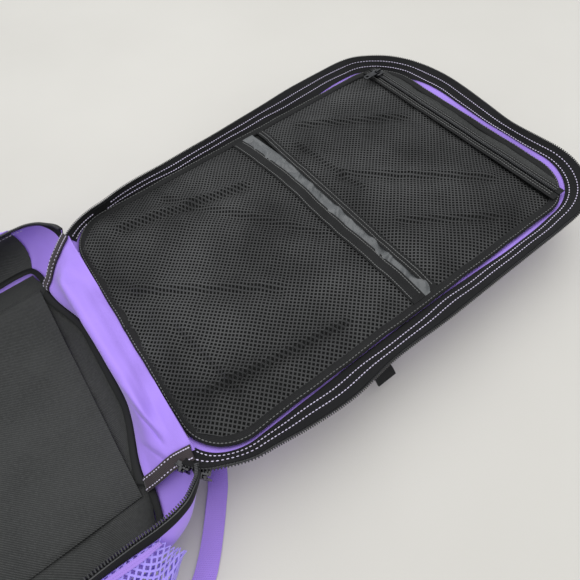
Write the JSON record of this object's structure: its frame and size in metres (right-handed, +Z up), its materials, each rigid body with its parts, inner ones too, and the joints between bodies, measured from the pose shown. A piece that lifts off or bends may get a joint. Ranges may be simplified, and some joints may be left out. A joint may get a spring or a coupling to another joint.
{
  "type": "racket backpack",
  "caption": "Soft backpack with a deep main compartment and a full-size zip-round lid that folds out flat, netting pockets inside the lid, a front pocket, side pockets and shoulder straps.",
  "frame": {"origin": "under the middle of the opened-out bag, on the surface it lies on", "axes": "+Z up from the table, +Y from the body to the folded-out lid, +X to the bag's right as seen from the body's top looking towards the lid"},
  "size_m": [0.461, 1.008, 0.0735],
  "materials": {
    "purple_cloth": "smooth coated polyester, soft sheen",
    "purple_webbing": "ribbed woven webbing, matt",
    "purple_mesh": "coarse knitted netting",
    "black_lining": "ribbed nylon lining, slight sheen",
    "black_satin": "crinkled satin, shiny",
    "black_mesh": "knitted netting, matt",
    "black_binding": "woven tape, stitched",
    "zip_tape": "woven zip tape with light stitching",
    "zip_coil": "nylon coil",
    "black_metal": "glossy black enamel",
    "black_plastic": "satin moulded plastic"
  },
  "bodies": {
    "body": {"back_panel": "purple_cloth", "back_lining": "black_lining", "back_binding": "black_binding", "inner_sleeve": "black_lining", "body_gusset": "purple_cloth", "bottom_panel": "purple_cloth", "body_zip_tape": "zip_tape", "body_zip_coil": "zip_coil", "corner_tape_right": "black_binding", "corner_tape_left": "black_binding", "side_pocket_right": "purple_mesh", "side_pocket_left": "purple_mesh", "side_pocket_trim_right": "purple_webbing", "side_pocket_trim_left": "purple_webbing", "shoulder_pad_right": "purple_cloth", "shoulder_pad_left": "purple_cloth", "lower_webbing_right": "purple_webbing", "lower_webbing_left": "purple_webbing", "webbing_anchor_right": "purple_cloth", "webbing_anchor_left": "purple_cloth", "ladder_lock_right": "black_plastic", "ladder_lock_left": "black_plastic", "back_pad_upper": "black_mesh", "back_pad_lower": "black_mesh"},
    "handle": {"grab_handle": "purple_webbing"},
    "lid": {"lid_gusset": "purple_cloth", "hinge_panel": "purple_cloth", "lid_lining": "black_lining", "lid_binding": "black_binding", "lid_zip_tape": "zip_tape", "lid_zip_coil": "zip_coil", "lower_mesh_pocket": "black_mesh", "lower_pocket_band": "black_binding", "satin_stripe": "black_satin", "upper_pocket_band": "black_binding", "upper_mesh_pocket": "black_mesh", "pocket_zip_tape": "zip_tape", "pocket_zip_coil": "zip_coil", "top_lining_strip": "black_lining", "front_pocket": "purple_cloth", "front_zip_tape": "zip_tape", "front_zip_coil": "zip_coil", "side_strap_end": "black_binding"},
    "pocket_slider": {"pocket_slider": "black_metal"},
    "pocket_puller": {"pocket_puller": "black_metal"},
    "front_slider": {"front_slider": "black_metal"},
    "front_puller": {"front_puller": "black_metal"},
    "far_slider": {"main_zip_far_slider": "black_metal"},
    "far_puller": {"main_zip_far_puller": "black_metal"},
    "near_slider": {"main_zip_near_slider": "black_metal"},
    "near_puller": {"main_zip_near_puller": "black_metal"}
  },
  "joints": [
    {"name": "lid_hinge", "type": "hinge", "parent": "body", "child": "lid", "pos_m": [0, 0.0143, 0.069], "axis": [1, 0, 0], "range_deg": [0, 180]},
    {"name": "handle_swing", "type": "hinge", "parent": "body", "child": "handle", "pos_m": [0, -0.4597, 0.0045], "axis": [-1, 0, 0], "range_deg": [0, 65]},
    {"name": "pocket_zip", "type": "slide", "parent": "lid", "child": "pocket_slider", "axis": [1, 0, 0], "range_m": [0, 0.25]},
    {"name": "pocket_puller_swing", "type": "hinge", "parent": "pocket_slider", "child": "pocket_puller", "pos_m": [-0.125, 0.4544, 0.0618], "axis": [-1, 0, 0], "range_deg": [0, 180]},
    {"name": "front_zip", "type": "slide", "parent": "lid", "child": "front_slider", "axis": [0, 1, 0], "range_m": [-0.21, 0.12]},
    {"name": "front_puller_swing", "type": "hinge", "parent": "front_slider", "child": "front_puller", "pos_m": [0.1555, 0.3043, 0.024], "axis": [0, -1, 0], "range_deg": [0, 170]},
    {"name": "main_zip_far", "type": "hinge", "parent": "lid", "child": "far_slider", "pos_m": [0.105, 0.0793, 0.0623], "axis": [0, 0, 1], "range_deg": [0, 22]},
    {"name": "main_zip_near", "type": "hinge", "parent": "lid", "child": "near_slider", "pos_m": [0.105, 0.0793, 0.0623], "axis": [0, 0, 1], "range_deg": [0, 22]},
    {"name": "far_puller_swing", "type": "hinge", "parent": "far_slider", "child": "far_puller", "pos_m": [0.15196, 0.03067, 0.0606], "axis": [-0.7193, -0.6947, 0], "range_deg": [0, 45]},
    {"name": "near_puller_swing", "type": "hinge", "parent": "near_slider", "child": "near_puller", "pos_m": [0.1388, 0.02076, 0.0606], "axis": [-0.866, -0.5, 0], "range_deg": [0, 90]}
  ],
  "couplings": [
    {"joint": "main_zip_near", "follows": "main_zip_far", "ratio": 1}
  ]
}
